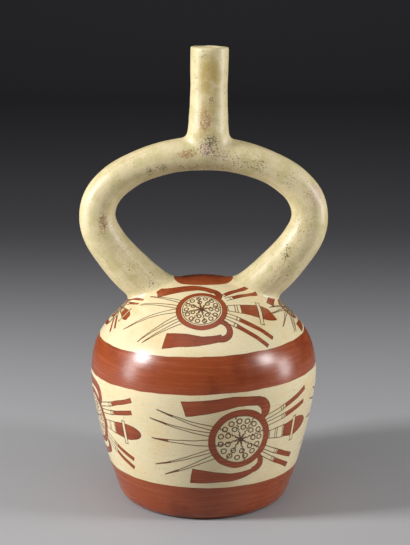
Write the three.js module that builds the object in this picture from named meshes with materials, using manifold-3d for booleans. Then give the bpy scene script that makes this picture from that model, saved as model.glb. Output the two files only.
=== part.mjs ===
// A stirrup spout vessel: a hollow fired-clay bottle in one piece. A round body with a flat base carries
// a tube shaped like a stirrup, whose two legs open into the body, and one straight spout on the tube's top.
// Millimetres, +Z up. The origin is the centre of the base, on the surface that the vessel stands on.
// The stirrup lies in the XZ plane.
import * as THREE from "three";
import { mergeVertices } from "three/addons/utils/BufferGeometryUtils.js";
import Module from "manifold-3d";

// ---- Driving dimensions -------------------------------------------------------------------------------

const HEIGHT = 280; // base to lip
const BODY_HEIGHT = 139; // base to the top of the dome
const BODY_WALL = 4.5;
const BASE_THICKNESS = 5.5;
const FLOOR_CHAMFER = 2;
const TUBE_WALL = 3.6;

// The body's outline from the middle of its top outwards and down to the edge of the flat base, as arcs
// that run into each other: [radius, degrees turned].
const BODY_ARCS = [
  [87.6, 19.5], // crown
  [58.4, 23.3], // brow of the dome
  [137.3, 6.9], // slope to the shoulder
  [38, 32.3], // shoulder
  [75.1, 15.8], // belly
  [313.6, 12.5], // lower wall
  [5.9, 69.7], // foot
];
const BODY_EASE = 4;

// The line through the middle of one half of the stirrup, from the middle of its arch out to one side
// and down into the body, as arcs like those above.
const ARCH_HEIGHT = 215.8; // base to the middle of the tube at the top of the arch
const STIRRUP_ARCS = [
  [96.9, 26.6], // arch
  [54.4, 20.3], // haunch
  [23.9, 75.8], // elbow
  [127.1, 29], // leg, on into the body
];
const STIRRUP_EASE = 8;
// The tube's outer radius along that line: [distance from the middle of the arch, radius].
const TUBE_RADII = [
  [0, 10.9],
  [20, 10.4],
  [42, 10.2],
  [58, 10.6],
  [76, 11.5],
  [100, 12.7],
  [126, 13.7],
];

// The spout stands a little to one side of the arch's middle, leans outwards and widens to its foot.
const SPOUT_RADIUS = 11.9;
const SPOUT_FOOT_RADIUS = 13.6;
const SPOUT_SHIFT = 2.4;
const SPOUT_LEAN_DEG = 1;
const SPOUT_BORE = 8;
const LIP_ROUND = 1;

// ---- Outlines -----------------------------------------------------------------------------------------

// Points along a chain of arcs, each {x, z, s, heading}: s is the distance from the start and heading the
// direction in radians, level and outwards at the start and turning downwards. The curvature of each arc
// eases into that of the next over the length ease on both sides of where they meet.
function easedArcs(startZ, arcs, ease, step = 0.5) {
  const stretches = arcs.map(([radius, degrees]) => {
    const length = radius * THREE.MathUtils.degToRad(degrees);
    return { radius, length };
  });
  const total = stretches.reduce((sum, { length }) => sum + length, 0);
  const turned = (s) => {
    let angle = 0;
    let from = 0;
    for (const { radius, length } of stretches) {
      angle -= THREE.MathUtils.clamp(s - from, 0, length) / radius;
      from += length;
    }
    return angle;
  };
  const headingAt = (s) => {
    const reach = Math.min(ease, s, total - s);
    const samples = 9;
    let sum = 0;
    for (let i = 0; i < samples; i++) sum += turned(s + reach * ((2 * i) / (samples - 1) - 1));
    return sum / samples;
  };
  const count = Math.round(total / step);
  const stride = total / count;
  const points = [{ x: 0, z: startZ, s: 0, heading: 0 }];
  for (let i = 1; i <= count; i++) {
    const last = points[i - 1];
    const heading = headingAt(i * stride);
    const mean = (last.heading + heading) / 2;
    points.push({
      x: last.x + Math.cos(mean) * stride,
      z: last.z + Math.sin(mean) * stride,
      s: i * stride,
      heading,
    });
  }
  return points;
}

// Keeps the points that the shape needs: a new one after every maxTurn degrees or maxLength.
function thinned(points, maxTurnDeg, maxLength) {
  const maxTurn = THREE.MathUtils.degToRad(maxTurnDeg);
  const kept = [points[0]];
  for (const point of points.slice(1, -1)) {
    const last = kept[kept.length - 1];
    if (Math.abs(point.heading - last.heading) >= maxTurn || point.s - last.s >= maxLength) kept.push(point);
  }
  kept.push(points[points.length - 1]);
  return kept;
}

// The same outline moved inwards by a wall's thickness.
function inset(points, wall) {
  return points.map((p) => ({
    ...p,
    x: Math.max(0, p.x + Math.sin(p.heading) * wall),
    z: p.z - Math.cos(p.heading) * wall,
  }));
}

// A smooth value between the rows of a [distance, value] table.
function smoothBetween(table, s) {
  if (s <= table[0][0]) return table[0][1];
  for (let i = 1; i < table.length; i++) {
    const [s0, v0] = table[i - 1];
    const [s1, v1] = table[i];
    if (s <= s1) return THREE.MathUtils.lerp(v0, v1, THREE.MathUtils.smoothstep(s, s0, s1));
  }
  return table[table.length - 1][1];
}

// ---- Solids -------------------------------------------------------------------------------------------

const wasm = await Module();
wasm.setup();

function solidOf(geometry) {
  geometry.deleteAttribute("normal");
  geometry.deleteAttribute("uv");
  const merged = mergeVertices(geometry, 1e-3);
  return new wasm.Manifold(
    new wasm.Mesh({
      numProp: 3,
      vertProperties: new Float32Array(merged.attributes.position.array),
      triVerts: new Uint32Array(merged.index.array),
    }),
  );
}

// Turns an outline of [radius, height] pairs, from its low end on the axis to its high end, round +Z.
function turnedRound(outline, segments) {
  const points = outline.map(([radius, height]) => new THREE.Vector2(radius, height));
  return new THREE.LatheGeometry(points, segments).rotateX(Math.PI / 2);
}

// Bends a straight rod of radius 1 round the whole stirrup, and gives it the radius that radiusAt says.
function bentRod(halfLine, radiusAt, sides, maxTurnDeg, maxLength) {
  const half = thinned(halfLine, maxTurnDeg, maxLength);
  const mirrored = half
    .slice(1)
    .reverse()
    .map(({ x, z, s, heading }) => ({ x: -x, z, s, heading: -heading }));
  const line = [...mirrored, ...half];
  const steps = line.length - 1;
  const rod = new THREE.CylinderGeometry(1, 1, steps, sides, steps);
  const position = rod.getAttribute("position");
  for (let i = 0; i < position.count; i++) {
    const at = line[Math.round(position.getY(i) + steps / 2)];
    const radius = radiusAt(at.s);
    const outwards = position.getX(i) * radius;
    position.setXYZ(
      i,
      at.x - Math.sin(at.heading) * outwards,
      position.getZ(i) * radius,
      at.z + Math.cos(at.heading) * outwards,
    );
  }
  return rod;
}

// The spout's own frame: its foot on the middle of the arch's tube, leaning in the stirrup's plane.
function placeSpout(geometry) {
  return geometry
    .rotateY(THREE.MathUtils.degToRad(SPOUT_LEAN_DEG))
    .translate(SPOUT_SHIFT, 0, ARCH_HEIGHT);
}

// ---- Body, stirrup and spout --------------------------------------------------------------------------

const bodyLine = easedArcs(BODY_HEIGHT, BODY_ARCS, BODY_EASE);
const footZ = bodyLine[bodyLine.length - 1].z;

function bodyOutside() {
  const outline = thinned(bodyLine, 8, 14).map(({ x, z }) => [x, z - footZ]);
  return turnedRound([[0, 0], ...outline.reverse()], 64);
}

// The inside follows the wall down to its own flat floor, which it meets in a narrow chamfer.
function bodyInside() {
  const wall = inset(thinned(bodyLine, 12, 20), BODY_WALL)
    .map(({ x, z }) => [x, z - footZ])
    .filter(([, z]) => z > BASE_THICKNESS);
  const [corner] = wall.slice(-1);
  const floor = [
    [0, BASE_THICKNESS],
    [corner[0] - FLOOR_CHAMFER, BASE_THICKNESS],
  ];
  return turnedRound([...floor, ...wall.reverse()], 40);
}

const stirrupLine = easedArcs(ARCH_HEIGHT, STIRRUP_ARCS, STIRRUP_EASE);
const tubeRadius = (s) => smoothBetween(TUBE_RADII, s);

const stirrupOutside = () => bentRod(stirrupLine, tubeRadius, 24, 9, 9);
const stirrupInside = () => bentRod(stirrupLine, (s) => tubeRadius(s) - TUBE_WALL, 16, 12, 12);

// The lip's higher side is at the vessel's full height.
const leanRad = THREE.MathUtils.degToRad(SPOUT_LEAN_DEG);
const lipDrop = (SPOUT_RADIUS - LIP_ROUND) * Math.sin(leanRad);
const spoutLength = (HEIGHT - ARCH_HEIGHT - lipDrop) / Math.cos(leanRad);

// The spout's foot is a bowl as deep as the tube, which the tube's own wall covers on both sides.
function spoutOutside() {
  const foot = tubeRadius(0);
  return placeSpout(
    turnedRound(
      [
        [0, -foot],
        [foot * 0.6, -foot * 0.8],
        [foot, -foot * 0.2],
        [SPOUT_FOOT_RADIUS - 1, foot * 0.45],
        [SPOUT_FOOT_RADIUS, foot + 0.6],
        [SPOUT_RADIUS + 0.9, foot + 3.2],
        [SPOUT_RADIUS + 0.4, foot + 9],
        [SPOUT_RADIUS, foot + 18],
        [SPOUT_RADIUS - 0.1, foot + 32],
        [SPOUT_RADIUS + 0.1, foot + 46],
        [SPOUT_RADIUS, spoutLength - LIP_ROUND],
        [SPOUT_RADIUS - LIP_ROUND * 0.3, spoutLength - LIP_ROUND * 0.3],
        [SPOUT_RADIUS - LIP_ROUND, spoutLength],
        [0, spoutLength],
      ],
      32,
    ),
  );
}

// The bore opens into the tube below and is cut on past the lip, which it rounds.
function spoutInside() {
  const past = 5;
  return placeSpout(
    turnedRound(
      [
        [0, -TUBE_WALL],
        [SPOUT_BORE - 2, -TUBE_WALL / 2],
        [SPOUT_BORE, tubeRadius(0) / 2],
        [SPOUT_BORE, spoutLength - LIP_ROUND],
        [SPOUT_BORE + LIP_ROUND, spoutLength],
        [SPOUT_BORE + LIP_ROUND, spoutLength + past],
        [0, spoutLength + past],
      ],
      24,
    ),
  );
}

function firedClay() {
  const clay = [bodyOutside(), stirrupOutside(), spoutOutside()].map(solidOf);
  const hollow = [bodyInside(), stirrupInside(), spoutInside()].map(solidOf);
  const made = wasm.Manifold.union(clay).subtract(wasm.Manifold.union(hollow));
  const { vertProperties, triVerts, numProp } = made.getMesh();
  const positions = new Float32Array((vertProperties.length / numProp) * 3);
  for (let i = 0; i < positions.length / 3; i++)
    positions.set(vertProperties.subarray(i * numProp, i * numProp + 3), i * 3);
  const geometry = new THREE.BufferGeometry();
  geometry.setAttribute("position", new THREE.BufferAttribute(positions, 3));
  geometry.setIndex(new THREE.BufferAttribute(new Uint32Array(triVerts), 1));
  geometry.computeVertexNormals();
  return geometry;
}

const burnishedSlip = new THREE.MeshStandardMaterial({ color: 0xd9c79c, roughness: 0.42, metalness: 0 });

const vessel = new THREE.Mesh(firedClay(), burnishedSlip);
vessel.name = "stirrup_spout_vessel";

const part = new THREE.Group();
part.add(vessel);

export default part;
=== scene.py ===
import math
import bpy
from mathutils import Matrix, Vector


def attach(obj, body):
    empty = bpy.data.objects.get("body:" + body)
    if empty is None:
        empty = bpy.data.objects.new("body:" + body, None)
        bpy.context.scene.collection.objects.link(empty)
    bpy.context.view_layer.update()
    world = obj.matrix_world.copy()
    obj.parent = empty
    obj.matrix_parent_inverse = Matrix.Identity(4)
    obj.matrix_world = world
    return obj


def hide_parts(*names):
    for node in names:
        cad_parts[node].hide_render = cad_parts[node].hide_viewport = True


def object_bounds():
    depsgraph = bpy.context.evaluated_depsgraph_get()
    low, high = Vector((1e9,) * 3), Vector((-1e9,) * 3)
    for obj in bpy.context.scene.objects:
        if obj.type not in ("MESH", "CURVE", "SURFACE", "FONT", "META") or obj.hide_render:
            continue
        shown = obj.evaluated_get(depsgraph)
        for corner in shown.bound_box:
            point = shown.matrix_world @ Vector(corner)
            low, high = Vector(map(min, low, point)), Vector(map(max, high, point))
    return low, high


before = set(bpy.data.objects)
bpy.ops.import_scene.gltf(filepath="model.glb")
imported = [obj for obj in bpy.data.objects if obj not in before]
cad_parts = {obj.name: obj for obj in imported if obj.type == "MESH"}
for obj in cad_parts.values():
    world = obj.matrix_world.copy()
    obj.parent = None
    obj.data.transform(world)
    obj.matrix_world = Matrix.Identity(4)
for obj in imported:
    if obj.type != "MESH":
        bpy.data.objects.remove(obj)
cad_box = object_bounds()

from types import SimpleNamespace

import bmesh
import bpy
import numpy as np
from mathutils import Matrix

# A stirrup spout vessel of fired clay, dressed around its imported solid. Sizes are in millimetres until a
# mesh is made. The vessel stands at the origin, with its stirrup in the XZ plane. Azimuth 0 is its front.
MM = 0.001

# ---- The studio -----------------------------------------------------------------------------------------
# A sheet of pale card sweeps up behind the vessel, with painted shade: its colour darkens towards the back,
# where the light falls off. The camera looks a little down on it. A small softbox at each side leaves a
# highlight on the belly, and a low strip one on the tube.

SWEEP_WIDTH = 8.0
SWEEP_FRONT = -2.5
SWEEP_BACK = 2.6
SWEEP_RADIUS = 1.0
SWEEP_HEIGHT = 3.0
CARD_NEAR = (158, 157, 159)
CARD_PAINTED_SHADE = (84, 82, 86)
CARD_SHADE_FADES = (0.05, 0.95)

CAMERA_PLACE = (0.0009, -0.831, 0.3275)
CAMERA_DIPS_DEG = 12.6
CAMERA_LENS = 91.2


class Value:
    """A socket in a material. Python's operators on it add Math nodes, and node() adds any other."""

    tree = None  # the nodes of the material that is being made

    def __init__(self, socket):
        self.socket = socket

    @classmethod
    def node(cls, kind, settings=None, sockets=None, output=0):
        made = cls.tree.nodes.new("ShaderNode" + kind)
        for name, setting in (settings or {}).items():
            setattr(made, name, setting)
        for name, given in (sockets or {}).items():
            if isinstance(given, Value):
                cls.tree.links.new(given.socket, made.inputs[name])
            else:
                made.inputs[name].default_value = given
        return cls(made.outputs[output])

    def math(self, operation, *others):
        return Value.node("Math", {"operation": operation}, dict(enumerate((self, *others))))

    def __add__(self, other):
        return self.math("ADD", other)

    def __sub__(self, other):
        return self.math("SUBTRACT", other)

    def __mul__(self, other):
        return self.math("MULTIPLY", other)

    def __rsub__(self, other):
        return Value.node("Math", {"operation": "SUBTRACT"}, {0: other, 1: self})

    def __abs__(self):
        return self.math("ABSOLUTE")

    def __gt__(self, other):
        return self.math("GREATER_THAN", other)

    __radd__, __rmul__ = __add__, __mul__

    def times_plus(self, factor, added):
        return self.math("MULTIPLY_ADD", factor, added)

    def least(self, other):
        return self.math("MINIMUM", other)

    def most(self, other):
        return self.math("MAXIMUM", other)

    def ramp(self, start, end):
        """0 before start, 1 past end and smooth between them. It falls where end is the lower one."""
        low, high = min(start, end), max(start, end)
        limits = {"From Min": low, "From Max": high}
        limits |= {"To Min": float(end < start), "To Max": float(end > start)}
        return Value.node("MapRange", {"interpolation_type": "SMOOTHSTEP"}, {"Value": self, **limits})

    def dot(self, x, y, z):
        return Value.node("VectorMath", {"operation": "DOT_PRODUCT"}, {0: self, 1: (x, y, z)}, 1)

    def gap_to(self, x, y, z):
        return Value.node("VectorMath", {"operation": "DISTANCE"}, {0: self, 1: (x, y, z)}, 1)

    def stretched(self, x, y, z):
        return Value.node("VectorMath", {"operation": "MULTIPLY"}, {0: self, 1: (x, y, z)})

    def noise(self, scale, detail=2.0, roughness=0.5, output=0):
        """Cloudy noise from 0 to 1, with scale as lumps per unit of this vector."""
        sockets = {"Vector": self, "Scale": scale, "Detail": detail, "Roughness": roughness}
        return Value.node("TexNoise", {"noise_dimensions": "3D"}, sockets, output)

    @staticmethod
    def mixed(under, over, share):
        """One colour laid over another, as much as the share from 0 to 1 says."""
        return Value.node("Mix", {"data_type": "RGBA"}, {0: share, 6: under, 7: over}, 2)


def tint(red, green, blue):
    """A colour from its values on a screen, 0 to 255, made linear."""
    shares = [n / 255 for n in (red, green, blue)]
    return (*[n / 12.92 if n <= 0.04045 else ((n + 0.055) / 1.055) ** 2.4 for n in shares], 1.0)


def new_material(name):
    """A material whose nodes are the ones that Value adds to from here on, and its shader's sockets."""
    made = bpy.data.materials.new(name)
    made.use_nodes = True
    Value.tree = made.node_tree
    return made, made.node_tree.nodes["Principled BSDF"].inputs


def object_of(solid, name):
    mesh = bpy.data.meshes.new(name)
    solid.to_mesh(mesh)
    solid.free()
    made = bpy.data.objects.new(name, mesh)
    bpy.context.collection.objects.link(made)
    return made


def sweep_of_card():
    card = bmesh.new()
    corners = [card.verts.new((x, SWEEP_FRONT, 0)) for x in (-SWEEP_WIDTH / 2, SWEEP_WIDTH / 2)]
    edge = card.edges.new(corners)
    floor = bmesh.ops.extrude_edge_only(card, edges=[edge])["geom"]
    far = [v for v in floor if isinstance(v, bmesh.types.BMVert)]
    bmesh.ops.translate(card, verts=far, vec=(0, SWEEP_BACK - SWEEP_FRONT, 0))
    bend = bmesh.ops.spin(
        card,
        geom=[e for e in floor if isinstance(e, bmesh.types.BMEdge) and all(v in far for v in e.verts)],
        cent=(0, SWEEP_BACK, SWEEP_RADIUS),
        axis=(1, 0, 0),
        angle=math.pi / 2,
        steps=24,
    )["geom_last"]
    last = [e for e in bend if isinstance(e, bmesh.types.BMEdge)]
    wall = bmesh.ops.extrude_edge_only(card, edges=last)["geom"]
    top = [v for v in wall if isinstance(v, bmesh.types.BMVert)]
    bmesh.ops.translate(card, verts=top, vec=(0, 0, SWEEP_HEIGHT))
    for face in card.faces:
        face.smooth = True
    sweep = object_of(card, "card_sweep")
    paper, shader = new_material("pale_card")
    place = Value.node("TexCoord", output=3)
    back = place.dot(0, 1, 0)
    # Painted shade: the card's colour darkens from near to far along Y, where the light falls off behind the
    # vessel.
    colour = Value.mixed(tint(*CARD_NEAR), tint(*CARD_PAINTED_SHADE), back.ramp(*CARD_SHADE_FADES))
    Value.tree.links.new(colour.socket, shader["Base Color"])
    shader["Roughness"].default_value = 0.85
    sweep.data.materials.append(paper)


def softbox(name, azimuth_deg, elevation_deg, distance, width, height, watts):
    """An area light that faces the vessel's middle. Azimuth 0 is the camera's side, 90 the right."""
    azimuth, elevation = math.radians(azimuth_deg), math.radians(elevation_deg)
    aim = (0, 0, 0.14)
    lamp = bpy.data.lights.new(name, "AREA")
    lamp.shape = "RECTANGLE"
    lamp.size, lamp.size_y = width, height
    lamp.energy = watts
    light = bpy.data.objects.new(name, lamp)
    light.location = (
        aim[0] + distance * math.cos(elevation) * math.sin(azimuth),
        aim[1] - distance * math.cos(elevation) * math.cos(azimuth),
        aim[2] + distance * math.sin(elevation),
    )
    light.rotation_euler = (math.pi / 2 - elevation, 0, azimuth)
    bpy.context.collection.objects.link(light)


sweep_of_card()
softbox("left_softbox", -72, 26, 1.1, 0.22, 0.26, 14)
softbox("right_softbox", 72, 24, 1.15, 0.24, 0.28, 7)
softbox("low_left_strip", -78, 4, 1.2, 0.25, 0.5, 5)
softbox("low_right_strip", 88, 4, 1.2, 0.25, 0.5, 5)
softbox("top_fill", 0, 72, 1.5, 1.4, 1.0, 4)

world = bpy.data.worlds.new("studio_air")
world.use_nodes = True
world.node_tree.nodes["Background"].inputs["Color"].default_value = (0.85, 0.87, 0.9, 1)
world.node_tree.nodes["Background"].inputs["Strength"].default_value = 0.11
bpy.context.scene.world = world
bpy.context.scene.view_settings.view_transform = "Standard"

camera = bpy.data.objects.new("camera", bpy.data.cameras.new("camera"))
camera.data.lens = CAMERA_LENS
camera.location = CAMERA_PLACE
camera.rotation_euler = (math.radians(90 - CAMERA_DIPS_DEG), 0, 0)
bpy.context.collection.objects.link(camera)
bpy.context.scene.camera = camera

# ---- The fired clay -------------------------------------------------------------------------------------
# Body, stirrup and spout were made apart, luted together while damp and burnished over the joints, so
# they are one hollow wall with a soft fillet wherever two of them meet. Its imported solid, which has the
# same sizes with crisp joints, is replaced.

VESSEL_HEIGHT = (cad_box[1][2] - cad_box[0][2]) / MM
BODY_WALL = 4.5
BASE_THICKNESS = 5.5
TUBE_WALL = 3.6

# Outlines as arcs that run into each other, (radius, degrees turned), level and outwards at the start.
BODY_TOP = 139.0
BODY_ARCS = ((87.6, 19.5), (58.4, 23.3), (137.3, 6.9), (38.0, 32.3), (75.1, 15.8), (313.6, 12.5), (5.9, 69.7))
BODY_EASE = 4.0
ARCH_HEIGHT = 215.8
STIRRUP_ARCS = ((96.9, 26.6), (54.4, 20.3), (23.9, 75.8), (127.1, 29.0))
STIRRUP_EASE = 8.0
# The tube's radius by the distance from the arch's middle, and the spout's by the height over it.
TUBE_RADII = ((0, 10.7), (20, 10.2), (42, 9.9), (58, 10.4), (76, 11.1), (100, 12.1), (126, 13.1))
SPOUT_RADII = ((0, 10.4), (5, 11.3), (12, 12.7), (20, 12.1), (30, 11.5), (40, 11.2), (52, 11.4), (70, 11.5))
SPOUT_SHIFT = 2.6
SPOUT_LEAN = math.radians(1.0)
SPOUT_BORE = 8.0
BORE_JOINT = 4  # how softly the hollows of the body and the legs meet
BORE_CORNER = 2
MOUTH_CORNER = 0.6
CHIP_CORNER = 0.5

LEG_FILLET = 6.0  # how far from a joint the two surfaces start to run together
SPOUT_FILLET = 4.5
LIP_ROUND = 1.0
LIP_LEANS = 0.3  # how much higher the right of the leaning lip is than its middle
LIP_WAVES = 0.15
LIP_CHIPS = ((-6.8, -9.6, 280.6, 1.4), (-3.6, -11.3, 280.4, 1.1))  # x, y, z and reach
HAND_SHAPED = 0.35  # how much the surface swells and sinks
VOXEL = 1.6


def eased_arcs(start_z, arcs, ease, step=1.0):
    """Points x, z along a chain of arcs, with the heading and the distance s at each."""
    lengths = [radius * math.radians(turn) for radius, turn in arcs]
    total = sum(lengths)
    count = round(total / step)
    s = np.linspace(0, total, count + 1)

    def turned(at):
        angle, start = np.zeros_like(at), 0
        for (radius, _), length in zip(arcs, lengths):
            angle -= np.clip(at - start, 0, length) / radius
            start += length
        return angle

    reach = np.minimum(ease, np.minimum(s, total - s))
    heading = np.mean([turned(s + reach * w) for w in np.linspace(-1, 1, 9)], axis=0)
    middle = (heading[1:] + heading[:-1]) / 2
    stride = total / count
    x = np.concatenate([[0], np.cumsum(np.cos(middle) * stride)])
    z = start_z + np.concatenate([[0], np.cumsum(np.sin(middle) * stride)])
    return x, z, heading, s


def smooth_between(table, at):
    """Smooth steps between the rows of a table of (distance, value)."""
    stops, values = np.array(table, float).T
    i = np.clip(np.searchsorted(stops, at) - 1, 0, len(stops) - 2)
    t = np.clip((at - stops[i]) / (stops[i + 1] - stops[i]), 0, 1)
    return values[i] + (values[i + 1] - values[i]) * t * t * (3 - 2 * t)


body_x, body_z, body_heading, _ = eased_arcs(BODY_TOP, BODY_ARCS, BODY_EASE)
body_z -= body_z[-1]
arch_x, arch_z, arch_heading, arch_s = eased_arcs(ARCH_HEIGHT, STIRRUP_ARCS, STIRRUP_EASE)
spout_foot = np.array([SPOUT_SHIFT, 0, ARCH_HEIGHT])
spout_axis = np.array([math.sin(SPOUT_LEAN), 0, math.cos(SPOUT_LEAN)])
SPOUT_LENGTH = VESSEL_HEIGHT - ARCH_HEIGHT - LIP_LEANS


def nearest_on(line_x, line_z, x, z):
    """The nearest place on a line: the distance to it, on its left or right (+), and how far along."""
    starts = np.stack([line_x[:-1], line_z[:-1]], axis=1)
    strides = np.stack([np.diff(line_x), np.diff(line_z)], axis=1)
    lengths = np.hypot(*strides.T)
    along = np.concatenate([[0], np.cumsum(lengths)])
    gap, where = np.empty(len(x)), np.empty(len(x))
    for part in np.array_split(np.arange(len(x)), max(1, len(x) // 4096)):
        dx = x[part, None] - starts[:, 0]
        dz = z[part, None] - starts[:, 1]
        t = np.clip((dx * strides[:, 0] + dz * strides[:, 1]) / lengths**2, 0, 1)
        off_x, off_z = dx - t * strides[:, 0], dz - t * strides[:, 1]
        squares = off_x**2 + off_z**2
        best = squares.argmin(axis=1)
        row = np.arange(len(part))
        side = np.sign(strides[best, 0] * off_z[row, best] - strides[best, 1] * off_x[row, best])
        gap[part] = side * np.sqrt(squares[row, best])
        where[part] = along[best] + t[row, best] * lengths[best]
    return gap, where


def run_together(a, b, reach):
    """The nearer of two surfaces, with a fillet where both are within reach."""
    overlap = np.maximum(reach - np.abs(a - b), 0) / reach
    return np.minimum(a, b) - overlap**2 * reach / 4


def cut_apart(a, b, reach):
    return -run_together(-a, -b, reach)


def places(points):
    """For each point, how far outside the body, the tube and the spout it is, and where along each."""
    x, y, z = points.T
    body, _ = nearest_on(np.append(body_x, 0), np.append(body_z, 0), np.hypot(x, y), z)
    outwards, along = nearest_on(arch_x, arch_z, np.abs(x), z)
    tube = np.hypot(outwards, y) - smooth_between(TUBE_RADII, along)
    up = (points - spout_foot) @ spout_axis
    off_axis = np.linalg.norm(points - spout_foot - up[:, None] * spout_axis, axis=1)
    off_axis = np.where(up > 0, off_axis, np.hypot(off_axis, up) - up / 2)
    spout = off_axis - smooth_between(SPOUT_RADII, up)
    return SimpleNamespace(
        body=body,
        tube=tube,
        outwards=outwards,
        along=along * np.sign(x),
        spout=spout,
        up=up,
        off_axis=off_axis,
    )


def skins(points):
    """How far each point is outside the outer surface and the hollow, and its height over the arch."""
    at = places(points)
    x, y, z = points.T
    swell = np.sin(x * 0.061 + 1.3) * np.sin(y * 0.067 + 0.4) + np.sin(z * 0.083 + x * 0.031 + 2.0)
    swell = HAND_SHAPED * (0.5 + swell / 4) * np.clip(z / 12, 0, 1) * np.clip((272 - z) / 20, 0, 1)
    limbs = run_together(at.tube, at.spout, SPOUT_FILLET)
    outside = run_together(at.body, limbs, LEG_FILLET) + swell
    room = np.maximum(at.body + BODY_WALL, BASE_THICKNESS - z)
    hollow = run_together(room, at.tube + TUBE_WALL, BORE_JOINT)
    hollow = run_together(hollow, at.off_axis - SPOUT_BORE, BORE_CORNER)
    return outside, hollow, at.up


def clay(points):
    """How far each point is outside the clay: negative in the wall."""
    outside, hollow, up = skins(points)
    lip = up - SPOUT_LENGTH + LIP_WAVES * (1 + np.sin(points[:, 0] * 0.5 + points[:, 1] * 0.2 + 0.6))
    wall = cut_apart(cut_apart(outside, -hollow, MOUTH_CORNER), lip, LIP_ROUND)
    for *middle, reach in LIP_CHIPS:
        wall = cut_apart(wall, reach - np.linalg.norm(points - middle, axis=1), CHIP_CORNER)
    return wall


def turned_round(outline, steps):
    """A closed solid turned round Z from (radius, height) points that start and end on the axis."""
    solid = bmesh.new()
    points = [solid.verts.new((x * MM, 0, z * MM)) for x, z in outline]
    edges = [solid.edges.new(pair) for pair in zip(points, points[1:])]
    bmesh.ops.spin(
        solid,
        geom=points + edges,
        cent=(0, 0, 0),
        axis=(0, 0, 1),
        angle=2 * math.pi,
        steps=steps,
        use_merge=True,
    )
    bmesh.ops.remove_doubles(solid, verts=solid.verts, dist=1e-6)
    bmesh.ops.recalc_face_normals(solid, faces=solid.faces)
    return solid


def bent_round(thinner, steps, sides):
    """A rod bent round the whole stirrup, thinner than the tube by a wall's thickness or by 0."""
    rod = bmesh.new()
    bmesh.ops.create_cone(rod, cap_ends=True, segments=sides, radius1=1, radius2=1, depth=2)
    upright = [e for e in rod.edges if abs(e.verts[0].co.z - e.verts[1].co.z) > 1]
    bmesh.ops.subdivide_edges(rod, edges=upright, cuts=steps - 1, use_grid_fill=True)
    for v in rod.verts:
        side, s = math.copysign(1, v.co.z), abs(v.co.z) * arch_s[-1]
        x, z, heading = (np.interp(s, arch_s, line) for line in (arch_x, arch_z, arch_heading))
        radius = smooth_between(TUBE_RADII, np.array([s]))[0] - thinner
        outwards = v.co.x * radius
        v.co = (
            side * (x - math.sin(heading) * outwards) * MM,
            v.co.y * radius * MM,
            (z + math.cos(heading) * outwards) * MM,
        )
    bmesh.ops.recalc_face_normals(rod, faces=rod.faces)
    return rod


def stood_on_arch(solid):
    lean = Matrix.Translation(spout_foot * MM) @ Matrix.Rotation(SPOUT_LEAN, 4, "Y")
    bmesh.ops.transform(solid, matrix=lean, verts=solid.verts)
    return solid


def rough_clay():
    """The joined and hollowed clay as an even net of small faces, with its joints still crisp."""
    outline = list(zip(body_x, body_z))[::3] + [(body_x[-1], 0), (0, 0)]
    lining = [
        (max(0, x + math.sin(h) * BODY_WALL), z - math.cos(h) * BODY_WALL)
        for x, z, h in list(zip(body_x, body_z, body_heading))[::3]
    ]
    lining = [(x, z) for x, z in lining if z > BASE_THICKNESS]
    lining += [(lining[-1][0], BASE_THICKNESS), (0, BASE_THICKNESS)]
    spout = [(0, -4)] + [(r, h) for h, r in SPOUT_RADII[:-1]]
    spout += [(SPOUT_RADII[-1][1], SPOUT_LENGTH), (0, SPOUT_LENGTH)]
    bore = [(0, -5), (6, -3), (SPOUT_BORE, 3), (SPOUT_BORE, SPOUT_LENGTH + 5), (0, SPOUT_LENGTH + 5)]
    lumps = (
        ("UNION", turned_round(outline, 120)),
        ("UNION", bent_round(0, 150, 40)),
        ("UNION", stood_on_arch(turned_round(spout, 48))),
        ("DIFFERENCE", turned_round(lining, 96)),
        ("DIFFERENCE", bent_round(TUBE_WALL, 150, 32)),
        ("DIFFERENCE", stood_on_arch(turned_round(bore, 40))),
    )
    made = [object_of(solid, f"lump_{i}") for i, (_, solid) in enumerate(lumps)]
    for (operation, _), other in list(zip(lumps, made))[1:]:
        joint = made[0].modifiers.new(other.name, "BOOLEAN")
        joint.operation, joint.object, joint.solver = operation, other, "EXACT"
    net = made[0].modifiers.new("even_net", "REMESH")
    net.mode, net.voxel_size = "VOXEL", VOXEL * MM
    joined = made[0].evaluated_get(bpy.context.evaluated_depsgraph_get())
    mesh = bpy.data.meshes.new_from_object(joined)
    for other in made:
        bpy.data.meshes.remove(other.data)
    return mesh


def settled(points, rounds=2, step=0.05):
    """The points moved onto the surface of the clay."""
    for _ in range(rounds):
        here = clay(points)
        slope = np.stack([(clay(points + step * axis) - here) / step for axis in np.eye(3)], axis=1)
        steepness = np.maximum((slope**2).sum(axis=1), 0.2)
        points = points - slope * (here / steepness)[:, None]
    return points


def smooth_net(mesh, rounds=2, softenings=3):
    """Spreads the net evenly over the true surface: each round softens it and settles it again."""
    for _ in range(rounds):
        net = bmesh.new()
        net.from_mesh(mesh)
        for _ in range(softenings):
            bmesh.ops.smooth_vert(
                net, verts=net.verts, factor=0.5, use_axis_x=True, use_axis_y=True, use_axis_z=True
            )
        net.to_mesh(mesh)
        net.free()
        points = np.empty(len(mesh.vertices) * 3)
        mesh.vertices.foreach_get("co", points)
        points = settled(points.reshape(-1, 3) / MM)
        points[:, 2] = np.maximum(points[:, 2], 0)
        mesh.vertices.foreach_set("co", (points * MM).ravel())
    mesh.polygons.foreach_set("use_smooth", np.ones(len(mesh.polygons), bool))
    mesh.update()
    return points


mesh = rough_clay()
points = smooth_net(mesh)
vessel = bpy.data.objects.new("vessel", mesh)
bpy.context.collection.objects.link(vessel)

# The clay carries four values for its paint. limb is 1 on the stirrup and spout and 0 on the body. grain is
# a place shrunk along the strokes of burnishing, so that cloudy noise on it makes streaks. stains says how
# strongly each kind of stain shows, and the ochre value how strongly an ochre tint shows that is partly
# painted shade down the middle of the spout's front.
GRAIN_SHRINKS = 0.06
JOINT_WIDTH = 6.0


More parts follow.
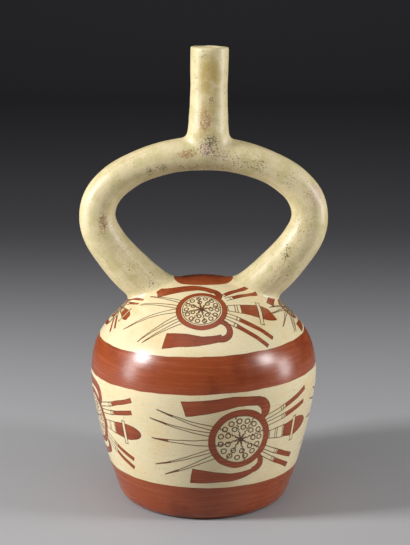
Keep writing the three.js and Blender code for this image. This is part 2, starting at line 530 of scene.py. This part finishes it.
def shares_near(difference, width):
    """0 well below a difference of 0 and 1 well above it, smooth over the width."""
    t = np.clip(difference / width + 0.5, 0, 1)
    return t * t * (3 - 2 * t)


# Stains of long use and burial on the limbs, and an ochre tint that is partly painted shade: x, y, z, reach,
# how much taller than wide, and strength.
DARK_SPECKS = (
    (4.5, -12.4, 224.1, 5, 0.8, 1),
    (0.5, -12, 221.5, 4, 1, 0.8),
    (3.9, -10.4, 218, 5, 1, 0.8),
    (13, -10.3, 214.2, 4, 0.8, 0.7),
    (21, -10, 212, 6, 0.7, 0.6),
    (33, -10, 209.5, 6, 0.7, 0.6),
    (-32.1, -9.1, 205.6, 3.5, 0.7, 1),
    (-25, -9.5, 208.5, 4, 0.6, 1),
    (-13, -9, 207.5, 3, 0.7, 0.8),
    (52, -9, 201, 4, 1, 0.5),
    (51.2, -11.4, 159.5, 2.4, 1, 0.8),
    (50, -12.2, 155.3, 2.8, 1, 1),
    (-32.6, -11, 142.7, 3, 1, 0.6),
    (-31.4, -12.6, 138, 2.6, 1.2, 0.7),
    (5, -11.6, 248.9, 2.2, 1, 0.9),
    (12.2, -7.4, 252.7, 2, 1.4, 0.6),
    (0, -12, 275.5, 2.2, 1, 0.6),
)
RUST = (
    (-11.1, -10.4, 216.2, 4.5, 0.6, 1),
    (-7, -10.5, 217, 4.5, 0.7, 0.8),
    (-60.3, -10.8, 174.5, 3.4, 1.9, 0.9),
    (-4.4, -9, 254.6, 3.2, 1, 0.6),
    (0.9, -12, 237.1, 4, 2, 0.9),
    (63, -7.6, 191.5, 4.5, 1, 0.6),
    (60, -8, 172, 9, 1.5, 0.35),
    (-44, -12, 153, 9, 1.2, 0.3),
    (2, -7, 207, 17, 0.22, 0.55),
    (48, -11, 145, 9, 1, 0.35),
)
LILAC = (
    (1.5, -12.2, 219.5, 4.5, 1, 1),
    (11, -11.5, 216.5, 5, 0.8, 0.7),
    (68, -7.6, 193, 5, 1.6, 0.9),
    (69, -9.3, 186.6, 4, 1.4, 0.6),
    (2.3, -12, 236, 2.6, 1.8, 0.8),
    (-5, -8.6, 238, 3, 2, 0.5),
)
# The ochre below runs down the middle of the spout's front: partly a real ochre tint, partly painted shade
# that darkens the cream where shade falls between the two side lights.
OCHRE_AND_SHADE = (
    (3.8, -11.9, 262, 6.5, 1.9, 1),
    (5, -12, 244, 6, 1.6, 0.5),
    (2, -12, 228, 7, 0.8, 0.5),
)


def stained(stains):
    """How much a kind of stain shows at each point. The ochre list is partly painted shade."""
    shown = np.zeros(len(points))
    for *middle, reach, taller, strength in stains:
        off = (points - middle) / (reach, reach, reach * taller)
        nearness = np.clip(1.5 - np.linalg.norm(off, axis=1), 0, 1)
        shown = np.maximum(shown, strength * nearness * nearness * (3 - 2 * nearness))
    return shown


def add_attribute(name, kind, values, field):
    attribute = mesh.attributes.new(name, kind, "POINT")
    attribute.data.foreach_set(field, np.ascontiguousarray(values, dtype=np.float32).ravel())


at = places(points)
x, y, z = points.T
limb = shares_near(at.body - np.minimum(at.tube, at.spout), JOINT_WIDTH)
spouty = shares_near(at.tube - at.spout, JOINT_WIDTH)[:, None]
on_tube = np.stack([at.outwards, y, at.along], axis=1)
body_grain = points * (GRAIN_SHRINKS, GRAIN_SHRINKS, 1)
tube_grain = on_tube * (1, 1, GRAIN_SHRINKS)
spout_grain = points * (1, 1, GRAIN_SHRINKS) + 40
limb_grain = tube_grain + (spout_grain - tube_grain) * spouty
add_attribute("limb", "FLOAT", limb, "value")
add_attribute("grain", "FLOAT_VECTOR", body_grain + (limb_grain - body_grain) * limb[:, None], "vector")
stains = np.stack([stained(kind) for kind in (DARK_SPECKS, RUST, LILAC)], axis=1)
add_attribute("stains", "FLOAT_VECTOR", stains, "vector")
add_attribute("ochre_and_shade", "FLOAT", stained(OCHRE_AND_SHADE), "value")

# ---- The painted slip -----------------------------------------------------------------------------------
# The whole outside has a cream slip. Red-brown slip fills the foot, a band round the belly and a disc on
# the crown. Between them, fine brushes of the same slip drew a ring of figures round the wall and another
# round the shoulder: a rayed disc between two hooks, with spines on its left and feathers on its right.
# Distances are in millimetres on the clay, and below 0 inside what is painted.

LINE = 0.27  # half the width of a brush line
SOFT_EDGE = 3.5  # how fast slip thins out at an edge, per millimetre
BELLY_MIDDLE, BELLY_HALF = 95.4, 10.5
FOOT_TOP = 24.0
CROWN_RADIUS, CROWN_SQUASH = 18.5, 1.46
SHOULDER_STARTS = 95
WALL_SIZES = (0.8, 0.92, 1, 1, 0.8)  # how large each figure is drawn, round the vessel from its back
SHOULDER_SIZES = (1, 0.57, 1, 0.57, 1)
SIDE_LOWERED = 14  # how much lower the shoulder's small side figures are
WOBBLE = 0.55  # how far a hand-drawn edge strays
CREAM = (222, 206, 167)
CREAM_WARM = (219, 197, 150)
CREAM_COOL = (212, 206, 170)
LIMB_CREAM = (212, 197, 156)
LIMB_OLIVE = (196, 184, 136)
LIMB_TAN = (184, 152, 108)
RED_BROWN = (142, 64, 30)
RED_BROWN_WORN = (160, 82, 44)
RED_BROWN_THICK = (116, 46, 20)
EDGE_BROWN = (74, 34, 16)
LINE_BROWN = (88, 52, 30)
SPECK_COLOUR = (76, 64, 40)
RUST_COLOUR = (142, 92, 54)
LILAC_COLOUR = (190, 158, 146)
# Partly a real ochre, partly painted shade: the darker tone of the spout's shaded front middle.
OCHRE_AND_SHADE_COLOUR = (172, 146, 76)

slip, shader = new_material("painted_slip")
place = Value.node("TexCoord", output=3).stretched(1 / MM, 1 / MM, 1 / MM)
parts = Value.node("SeparateXYZ", sockets={0: place})
x, y, z = (Value(parts.socket.node.outputs[i]) for i in range(3))
azimuth = x.math("ARCTAN2", y * -1)
radius = (x * x + y * y).math("SQRT")
limb = Value.node("Attribute", {"attribute_name": "limb"}, output=2)
stray = place.noise(0.09, 1.5, output=1)
stray_parts = Value.node("SeparateXYZ", sockets={0: stray})
stray_u, stray_v = (
    Value(stray_parts.socket.node.outputs[i]).times_plus(2 * WOBBLE, -WOBBLE) for i in range(2)
)


class Figure:
    """One painted figure on flat paper (u right, v up): how far a place is from its fills and its lines."""

    def __init__(self, u, v):
        self.u, self.v = u, v
        self.paper = Value.node("CombineXYZ", sockets={0: u, 1: v, 2: 1.0})
        self.fills = self.lines = None

    def fill(self, distance):
        self.fills = distance if self.fills is None else self.fills.least(distance)

    def line(self, distance):
        self.lines = distance if self.lines is None else self.lines.least(distance)

    def stroke(self, start, end):
        """The way along a straight stroke, the distance off it and its length."""
        length = math.dist(start, end)
        du, dv = (end[0] - start[0]) / length, (end[1] - start[1]) / length
        along = self.paper.dot(du, dv, -start[0] * du - start[1] * dv)
        off = self.paper.dot(-dv, du, start[0] * dv - start[1] * du)
        return along, off, length

    def rayed_disc(self, ring, half_ring, rim, rim_faint, dots, rays):
        """A thick ring round a thin rim, with rows of (how many, how far out, radius) dots between dashed
        rays. rim_faint is how much of the rim's width is missing."""
        out = self.paper.gap_to(0, 0, 1)
        turn = self.v.math("ARCTAN2", self.u)
        self.fill(abs(out - ring) - half_ring)
        self.line(abs(out - rim) + rim_faint)
        for count, row, dot in dots:
            round_row = turn.times_plus(count / math.tau, 0.5).math("FRACT") - 0.5
            sideways = round_row * (row * math.tau / count)
            from_dot = Value.node("CombineXYZ", sockets={0: out - row, 1: sideways})
            self.line(abs(from_dot.gap_to(0, 0, 0) - dot) - 0.1)
        to_ray = ((turn.times_plus(rays / math.tau, 0.2).math("FRACT") - 0.5) * (math.tau / rays)) * out
        zigzag = out.math("PINGPONG", 1.1).times_plus(0.9, -0.5)
        dashes = 0.35 - out.math("PINGPONG", 1.7)
        self.line((abs(to_ray - zigzag) - 0.15).most(dashes).most(out - rim))
        knot = self.paper.gap_to(0.3, -0.2, 1) + stray_u - 1.3
        self.line(knot.least((abs(to_ray) - 0.2).most(out - 3.4)))

    def over_edge(self, v, height, peak, rise, droop):
        """How far v is over an edge that rises to its height at u = peak and droops ever faster past it."""
        past_peak = self.u - peak
        falls = past_peak.most(0).math("POWER", 2).times_plus(droop, v - height)
        return past_peak.least(0).times_plus(-rise, falls)

    def hook(self, flip, top, bottom, cut, bend, notch, ring):
        """An arm from a slanting cut to a bend that runs into the ring, round a notch of bare cream. flip is
        -1 below the disc, where everything is upside down."""
        v = self.v * flip
        (u0, v0), (u1, v1) = cut
        length = math.dist(*cut)
        across = (v1 - v0) / length, (u0 - u1) / length
        past_cut = self.paper.dot(across[0], across[1] * flip, -u0 * across[0] - v0 * across[1])
        arm = self.over_edge(v, *top).most(self.over_edge(v, *bottom) * -1).most(past_cut)
        to_bend = self.u - bend[0]
        to_ring = ring - self.paper.gap_to(0, 0, 1)
        to_notch = notch[2] - self.paper.gap_to(notch[0], notch[1] * flip, 1)
        bent = (self.paper.gap_to(bend[0], bend[1] * flip, 1) - bend[2]).most(to_notch)
        bent = bent.most(to_bend * -1 - 1).most(to_ring)
        self.fill(arm.most(to_bend - 1).least(bent))

    def spine(self, tip, root, half_width, filled=0.7):
        """Two lines that draw together from the disc, filled near their tip."""
        along, off, length = self.stroke(root, tip)
        side = along.times_plus(half_width / length, abs(off) - half_width)
        self.line(abs(side).most(abs(along - length / 2) - length / 2))
        solid = (1 - filled) * length / 2
        self.fill((side - 0.3).most(abs(along - (length - solid)) - solid))

    def feather(self, root, tip, half_width=1.6, filled=0.42):
        """A bar with a square end, on a stem of two lines with a small square between them."""
        along, off, length = self.stroke(root, tip)
        side = abs(off) - half_width
        stem = filled * length
        self.fill(side.most(abs(along - (length + stem) / 2) - (length - stem) / 2))
        on_stem = abs(along - stem / 2) - stem / 2
        square = abs(abs(along - stem * 0.85) - 0.9)
        self.line(abs(side + LINE).least(square.most(side)).most(on_stem))

    def blade(self, root, tip, neck, wide, bar, bar_half, stripes):
        """A blade that widens from a striped neck to a rounded tip, crossed by a bar of bare cream."""
        along, off, length = self.stroke(root, tip)
        widening = (wide - neck) / (bar * length)
        side = abs(off) - neck
        flare = along.times_plus(-widening, side)
        past_bar = (along - bar * length) * (wide / (1 - bar) / length)
        round_tip = Value.node("CombineXYZ", sockets={0: past_bar, 1: off})
        tip_part = round_tip.gap_to(0, 0, 0) - wide
        outline = flare.most(along - bar * length).least(tip_part.most(bar * length - along))
        to_bar = abs(along - bar * length)
        bar_shape = (to_bar - 1.2).most(abs(off + 1.0) - bar_half)
        solid = outline.most(stripes * length - along).most(1.2 - to_bar)
        self.fill(solid)
        self.line(abs(bar_shape))
        on_neck = (abs(along - stripes * length / 2) - stripes * length / 2).most(flare)
        bars = abs(along.math("PINGPONG", 3.0) - 0.8)
        self.line(bars.most(on_neck).least(abs(flare).most(along - stripes * length).most(along * -1)))


def unrolled(centre, start_radius, start_height, slope_deg):
    """Right and up on the cone that the wall follows, unrolled flat round a figure's centre."""
    slope = math.radians(slope_deg)
    shrink = math.cos(slope)
    apex = start_radius / shrink
    down = (radius - start_radius) * shrink + (start_height - z) * math.sin(slope)
    out = down + apex
    turn = (azimuth - centre) * shrink
    return (out * turn.math("SINE")) + stray_u, (apex - out * turn.math("COSINE")) + stray_v


def sector_steps(edges, lean=0.0):
    """1 where the azimuth is past each edge in degrees. Every other edge leans on with the height."""
    leaning = azimuth - (z - 126).most(0) * lean if lean else azimuth
    return [(azimuth if i % 2 else leaning) > math.radians(edge) for i, edge in enumerate(edges)]


def stepped(values, steps):
    """One of a ring of values, changed by each step."""
    chosen = values[0]
    for step, before, after in zip(steps, values, values[1:]):
        if after != before:
            chosen = step * (after - before) + chosen
    return chosen


# Round the wall: four figures, of which the one at the back is drawn smaller.
steps = sector_steps((-123.5, -30.5, 67.5, 161.5))
centre = stepped([math.radians(d) for d in (-161, -76.5, 18.4, 114.5, 199)], steps)
u, v = unrolled(centre, 67.4, 55.4, 100.4)
size = stepped(WALL_SIZES, steps)
grown = stepped([1 / n for n in WALL_SIZES], steps)
wall = Figure((u - 0.4) * grown, (v - 0.4) * grown)
wall.rayed_disc(17.3, 2.0, 15.1, 0.15, ((15, 12.1, 1.5), (9, 8.0, 1.45)), 8)
cut = ((-37.2, 23.6), (-33, 13.6))
wall.hook(1, (27.2, -6, 0.12, 0.0039), (21.3, -2, 0.23, 0.0068), cut, (11.3, 17.8, 7.7), (8, 15.6, 4.9), 17.3)
cut = ((-28.9, 30.6), (-27.6, 19.5))
wall.hook(-1, (28.8, -6.7, -0.07, 0.0135), (23, -4, 0.14, 0.008), cut, (10.2, 18, 6.7), (9, 16.7, 3.9), 17.3)
for tip, root, half_width in (
    ((-51.3, 15.4), (-17.5, 8), 1.3),
    ((-55.4, 9.1), (-18.9, 4), 1.2),
    ((-53.2, -3.7), (-19, -1.5), 2.0),
    ((-50.6, -21.6), (-18, -7), 1.2),
    ((-44.3, -27), (-16, -11), 1.4),
):
    wall.spine(tip, root, half_width)
for root, tip in (
    ((16, 11.6), (52.2, 20)),
    ((18, 7.4), (50.8, 11.5)),
    ((17, -8.6), (42.6, -23)),
    ((15, -12.4), (40.4, -29.5)),
):
    wall.feather(root, tip)
wall.blade((19, -0.5), (55, -3.4), 2.4, 5.8, 0.6, 8.2, 0.33)

# Round the shoulder: the same figures, front and back, with a smaller one between them at each side.
steps = sector_steps((-121.6, -61.6, 58.4, 118.4), 0.05)
centre = stepped([math.radians(d) for d in (-181.6, -91.6, -1.6, 88.4, 178.4)], steps)
u, v = unrolled(centre, 40.7, 128.4, 33.0)
size_top = stepped(SHOULDER_SIZES, steps)
grown = stepped([1 / n for n in SHOULDER_SIZES], steps)
lowered = stepped((0, SIDE_LOWERED, 0, SIDE_LOWERED, 0), steps)
top = Figure(u * grown, (v - 0.6 + lowered) * grown)
top.rayed_disc(13.9, 1.6, 11.5, 0, ((14, 9.2, 1.25), (7, 5.6, 1.15)), 8)
cut = ((-31, 25.6), (-28.2, 15.8))
top.hook(1, (25.5, -15, 0, 0.0105), (18.5, -4, 0.11, 0.033), cut, (5.2, 13.5, 7.3), (3.2, 11.7, 5.3), 13.9)
cut = ((-24, 24.8), (-20.6, 14.6))
top.hook(-1, (26, -8, 0.07, 0.0088), (19.5, 1, 0.19, 0.017), cut, (11.4, 15, 7.8), (11.6, 14.6, 3.9), 13.9)
for tip, root, half_width in (
    ((-36.2, 21), (-13, 7.6), 1.1),
    ((-50.1, 19.2), (-15.2, 3.4), 1.2),
    ((-51, -0.3), (-15.4, 0), 1.5),
    ((-40.2, -15.4), (-14.6, -5.4), 1.3),
    ((-37, -17.3), (-12.6, -9.4), 1.2),
):
    top.spine(tip, root, half_width, 0.8)
for root, tip, filled in (
    ((12.9, 14.1), (32.2, 31), 0.05),
    ((14.7, 10.4), (35.1, 24.5), 0.2),
    ((15, -3.2), (45.2, -9.4), 0.28),
    ((13.8, -7.4), (42.2, -16.4), 0.28),
):
    top.feather(root, tip, 1.5, filled)
top.blade((15, 2), (49, 9.4), 2.0, 5.6, 0.62, 8.8, 0.25)

on_top = z > SHOULDER_STARTS
fills = Value.node("Mix", sockets={0: on_top, 2: wall.fills * size, 3: top.fills * size_top})
lines = Value.node("Mix", sockets={0: on_top, 2: wall.lines * size, 3: top.lines * size_top})
level = z + stray_v
belly = abs(x.times_plus(-0.026, level) - BELLY_MIDDLE) - BELLY_HALF
foot = x.times_plus(0.009, level) - FOOT_TOP
out = (x * x + (y * y) * CROWN_SQUASH).math("SQRT")
crown = (out + stray_u - CROWN_RADIUS).most(limb.times_plus(10, -8))
bands = belly.least(foot).least(crown)
off_body = limb.times_plus(10, -5)
figures = fills.most(off_body)
fills = figures.least(bands)
lines = lines.most(off_body)

# The slips themselves: cream with cloudy warm and cool places, and brown that lies thick and thin.
grain = Value.node("Attribute", {"attribute_name": "grain"}, output=1)
cloud = place.noise(0.045, 3.0, 0.6)
patch = place.noise(0.13, 3.0, 0.6)
streak = grain.noise(0.5, 3.0, 0.6)
fine = place.noise(0.9, 3.0, 0.65)

cream = Value.mixed(tint(*CREAM), tint(*CREAM_WARM), cloud.ramp(0.42, 0.68))
cream = Value.mixed(cream, tint(*CREAM_COOL), streak.ramp(0.45, 0.7) * 0.6)
limb_cream = Value.mixed(tint(*LIMB_CREAM), tint(*LIMB_OLIVE), patch.ramp(0.4, 0.64))
limb_cream = Value.mixed(limb_cream, tint(*LIMB_TAN), streak.ramp(0.5, 0.75) * 0.4)
cream = Value.mixed(cream, limb_cream, limb.ramp(0.3, 0.8))
brown = Value.mixed(tint(*RED_BROWN), tint(*RED_BROWN_WORN), streak.ramp(0.45, 0.75) * 0.7)
brown = Value.mixed(brown, tint(*RED_BROWN_THICK), cloud.ramp(0.5, 0.3) * 0.7)


def cover(distance):
    """How much slip lies at a distance outside an edge: 1 inside, 0 outside."""
    clamped = {"operation": "MULTIPLY_ADD", "use_clamp": True}
    return Value.node("Math", clamped, {0: distance, 1: -SOFT_EDGE, 2: 0.5})


outline = cover(abs(figures + 0.25) - 0.2) * 0.7
brown = Value.mixed(brown, tint(*EDGE_BROWN), outline.most(cover(abs(bands + 0.25) - 0.15) * 0.4))
colour = Value.mixed(cream, brown, cover(fills))
drawn = cover(lines - LINE) * cloud.ramp(0.15, 0.4).times_plus(0.35, 0.65)
colour = Value.mixed(colour, tint(*LINE_BROWN), drawn)

# The stains lie over the slips, and small specks are strewn over all the limbs. The ochre, laid down the
# middle of the spout's front, is partly painted shade.
stains = Value.node("Attribute", {"attribute_name": "stains"}, output=1)
ochre_and_shade = Value.node("Attribute", {"attribute_name": "ochre_and_shade"}, output=2)
dark, rust, lilac = (stains.dot(*axis) for axis in ((1, 0, 0), (0, 1, 0), (0, 0, 1)))
# Painted shade in part: ochre darkens the cream down the middle of the spout's front.
colour = Value.mixed(colour, tint(*OCHRE_AND_SHADE_COLOUR), ochre_and_shade * patch.ramp(0.3, 0.55) * 0.75)
colour = Value.mixed(colour, tint(*LILAC_COLOUR), lilac.times_plus(0.36, fine).ramp(0.64, 0.86) * 0.7)
colour = Value.mixed(colour, tint(*RUST_COLOUR), rust.times_plus(0.27, fine).ramp(0.6, 0.84) * 0.75)
specks = limb.times_plus(0.03, dark.times_plus(0.17, fine))
colour = Value.mixed(colour, tint(*SPECK_COLOUR), specks.ramp(0.65, 0.76) * 0.8)

Value.tree.links.new(colour.socket, shader["Base Color"])
roughness = limb.times_plus(0.14, streak.times_plus(0.14, 0.2))
Value.tree.links.new(roughness.socket, shader["Roughness"])
relief = streak * 0.6 + fine * 0.4
bump = Value.node("Bump", sockets={"Strength": 0.25, "Distance": 0.0002, "Height": relief})
Value.tree.links.new(bump.socket, shader["Normal"])
mesh.materials.append(slip)

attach(vessel, "root")
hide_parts("stirrup_spout_vessel")
